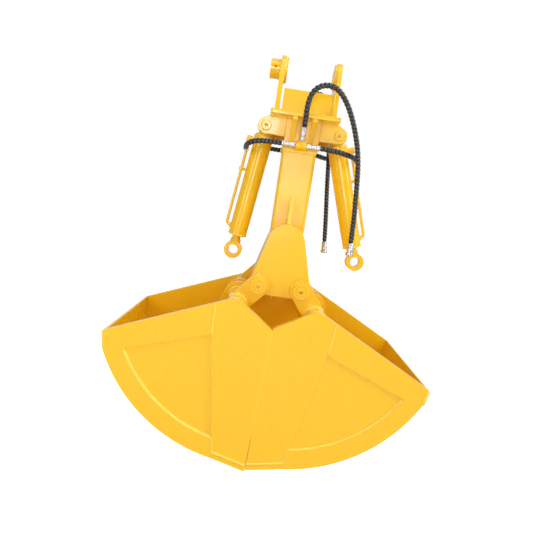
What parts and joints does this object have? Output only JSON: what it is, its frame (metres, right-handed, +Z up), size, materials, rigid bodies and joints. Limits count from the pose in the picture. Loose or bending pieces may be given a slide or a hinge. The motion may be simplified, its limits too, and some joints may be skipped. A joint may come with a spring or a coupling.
{
  "type": "hydraulic clamshell grab bucket",
  "caption": "Clamshell grab for a mini excavator: toothless shells hinged under a square column, hydraulic cylinders hung from its head, a pin hanger on top and hoses from tees.",
  "frame": {"origin": "centre of the hanger bore, midway between the two ears", "axes": "+X along the hanger pin towards the right ear, +Y along the shells' hinge pins to the back, +Z up"},
  "size_m": [0.9271, 0.45, 1.2092],
  "materials": {
    "yellow_paint": "gloss chrome-yellow paint",
    "zinc_fitting": "bright zinc-plated steel",
    "chrome_rod": "hard chrome, ground",
    "bare_steel": "machined steel",
    "hose_rubber": "hydraulic hose in a black spiral guard"
  },
  "bodies": {
    "column": {"column_tube": "yellow_paint", "apron_front": "yellow_paint", "apron_back": "yellow_paint", "apron_sides": "yellow_paint", "apron_ribs": "yellow_paint", "base_plate": "yellow_paint", "ear_left": "yellow_paint", "ear_right": "yellow_paint", "ear_boss": "yellow_paint", "ear_pads": "yellow_paint", "cross_plate": "yellow_paint", "head_gussets": "yellow_paint", "head_plates": "yellow_paint", "lug_plates_left": "yellow_paint", "lug_plates_right": "yellow_paint", "lug_pin_left": "yellow_paint", "lug_pin_right": "yellow_paint", "hinge_tubes": "yellow_paint", "hinge_pin_left": "yellow_paint", "hinge_pin_right": "yellow_paint", "manifold_tees": "yellow_paint", "tee_unions": "zinc_fitting", "left_pressure_hose": "hose_rubber", "left_return_hose": "hose_rubber", "right_pressure_hose": "hose_rubber", "right_return_hose": "hose_rubber", "supply_hose_front": "hose_rubber", "supply_hose_back": "hose_rubber", "supply_coupling_front": "zinc_fitting", "supply_coupling_back": "zinc_fitting"},
    "left_cylinder": {"left_barrel": "yellow_paint", "left_base_eye": "yellow_paint", "left_gland": "yellow_paint", "left_oil_line": "yellow_paint"},
    "left_shell": {"left_side_front": "yellow_paint", "left_side_back": "yellow_paint", "left_side_frames": "yellow_paint", "left_floor_plate": "yellow_paint", "left_cutting_edge": "yellow_paint", "left_cross_tube": "yellow_paint", "left_arms": "yellow_paint", "left_rod_lugs": "yellow_paint"},
    "right_cylinder": {"right_barrel": "yellow_paint", "right_base_eye": "yellow_paint", "right_gland": "yellow_paint", "right_oil_line": "yellow_paint"},
    "right_shell": {"right_side_front": "yellow_paint", "right_side_back": "yellow_paint", "right_side_frames": "yellow_paint", "right_floor_plate": "yellow_paint", "right_cutting_edge": "yellow_paint", "right_cross_tube": "yellow_paint", "right_arms": "yellow_paint", "right_rod_lugs": "yellow_paint"},
    "left_ram": {"left_piston": "bare_steel", "left_rod": "chrome_rod", "left_rod_eye": "yellow_paint"},
    "right_ram": {"right_piston": "bare_steel", "right_rod": "chrome_rod", "right_rod_eye": "yellow_paint"}
  },
  "joints": [
    {"name": "left_shell_swing", "type": "hinge", "parent": "column", "child": "left_shell", "pos_m": [-0.062, 0, -0.634], "axis": [0, -1, 0], "range_deg": [-56, 0]},
    {"name": "left_cylinder_swing", "type": "hinge", "parent": "column", "child": "left_cylinder", "pos_m": [-0.1075, 0, -0.177], "axis": [0, 1, 0], "range_deg": [-3, 18], "deforming": ["left_pressure_hose", "left_return_hose"]},
    {"name": "left_rod_slide", "type": "slide", "parent": "left_cylinder", "child": "left_ram", "axis": [-0.1331, 0, -0.9911], "range_m": [0, 0.2]},
    {"name": "right_shell_swing", "type": "hinge", "parent": "column", "child": "right_shell", "pos_m": [0.062, 0, -0.634], "axis": [0, 1, 0], "range_deg": [-60, 0]},
    {"name": "right_cylinder_swing", "type": "hinge", "parent": "column", "child": "right_cylinder", "pos_m": [0.1075, 0, -0.177], "axis": [0, -1, 0], "range_deg": [-15, 8], "deforming": ["right_pressure_hose", "right_return_hose"]},
    {"name": "right_rod_slide", "type": "slide", "parent": "right_cylinder", "child": "right_ram", "axis": [0.3156, 0, -0.9489], "range_m": [0, 0.2]}
  ]
}
